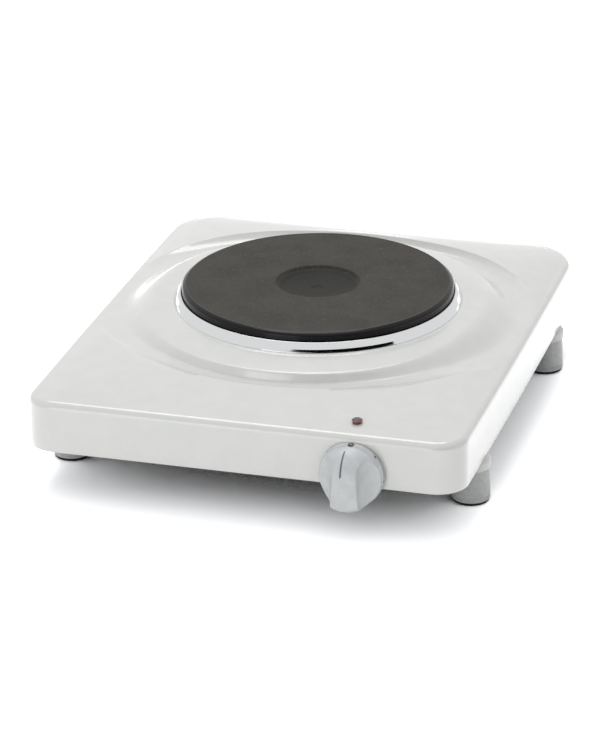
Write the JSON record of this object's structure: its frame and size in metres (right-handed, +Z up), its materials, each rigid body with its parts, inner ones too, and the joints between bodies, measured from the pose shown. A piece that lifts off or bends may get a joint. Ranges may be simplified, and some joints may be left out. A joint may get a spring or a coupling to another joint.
{
  "type": "hot plate burner",
  "caption": "Tabletop single electric hot plate: white enamelled casing on feet, cast-iron cooking plate in a steel overflow ring, front rotary heat regulator and pilot lamp.",
  "frame": {"origin": "On the table top, under the middle of the whole object's footprint (knob and inlet included).", "axes": "X to the right seen from the front, Y towards the rear (the knob faces -Y), Z up."},
  "size_m": [0.2906, 0.3736, 0.0885],
  "materials": {
    "white_enamel": "smooth white vitreous enamel, glossy",
    "black_pan": "black stoved paint on sheet steel",
    "grey_plastic": "light grey moulded plastic",
    "black_rubber": "dull black rubber",
    "zinc_steel": "zinc-plated steel",
    "cast_iron": "burnt-in cast iron, fine turned rings",
    "chrome_steel": "polished stainless steel ring",
    "cement": "fired magnesia cement",
    "coil_wire": "oxidised resistance wire",
    "brass": "plain brass",
    "ceramic_block": "steatite",
    "brown_phenolic": "brown moulding compound",
    "white_nylon": "white nylon",
    "copper": "phosphor bronze leaf",
    "red_lens": "translucent dark red plastic",
    "clear_bulb": "clear glass with orange glow electrodes",
    "black_plastic": "black nylon",
    "brown_wire": "brown heat-proof insulation",
    "blue_wire": "blue heat-proof insulation",
    "black_wire": "black heat-proof insulation",
    "white_wire": "pale heat-proof insulation",
    "earth_wire_green": "green and yellow insulation"
  },
  "bodies": {
    "casing_body": {"top_housing": "white_enamel", "base_pan": "black_pan", "pan_screws": "zinc_steel", "feet": "grey_plastic", "foot_pads": "black_rubber", "foot_screws": "zinc_steel", "cooking_plate": "cast_iron", "coil_cement": "cement", "heating_coils": "coil_wire", "overflow_ring": "chrome_steel", "plate_cover": "zinc_steel", "plate_stud": "zinc_steel", "clamp_bridge": "zinc_steel", "stud_washer": "zinc_steel", "stud_nut": "brass", "plate_terminal_block": "ceramic_block", "plate_terminal_lugs": "brass", "thermal_cutout": "ceramic_block", "regulator_body": "brown_phenolic", "regulator_cover": "brown_phenolic", "regulator_screws": "zinc_steel", "regulator_tabs": "brass", "contact_leaf": "copper", "pilot_lens": "red_lens", "lamp_push_nut": "zinc_steel", "neon_bulb": "clear_bulb", "mains_terminal_block": "ceramic_block", "mains_block_screws": "zinc_steel", "earth_screw": "zinc_steel", "earth_lug": "brass", "cable_gland": "black_plastic", "gland_nut": "black_plastic", "live_wire": "brown_wire", "neutral_wire": "blue_wire", "switched_wire": "black_wire", "lamp_wires": "white_wire", "earth_wire": "earth_wire_green"},
    "knob_body": {"regulator_shaft": "zinc_steel", "shaft_circlip": "zinc_steel", "regulator_cam": "white_nylon", "control_knob": "grey_plastic", "knob_spring": "zinc_steel"},
    "follower_body": {"cam_follower": "white_nylon"}
  },
  "joints": [
    {"name": "knob_turn", "type": "hinge", "parent": "casing_body", "child": "knob_body", "pos_m": [0.074, -0.17515, 0.0412], "axis": [0, 1, 0], "range_deg": [0, 270]},
    {"name": "follower_slide", "type": "slide", "parent": "casing_body", "child": "follower_body", "axis": [0, 0, -1], "range_m": [0, 0.0014]}
  ],
  "couplings": [
    {"joint": "follower_slide", "follows": "knob_turn", "m_per_rad": 0.00029709}
  ]
}
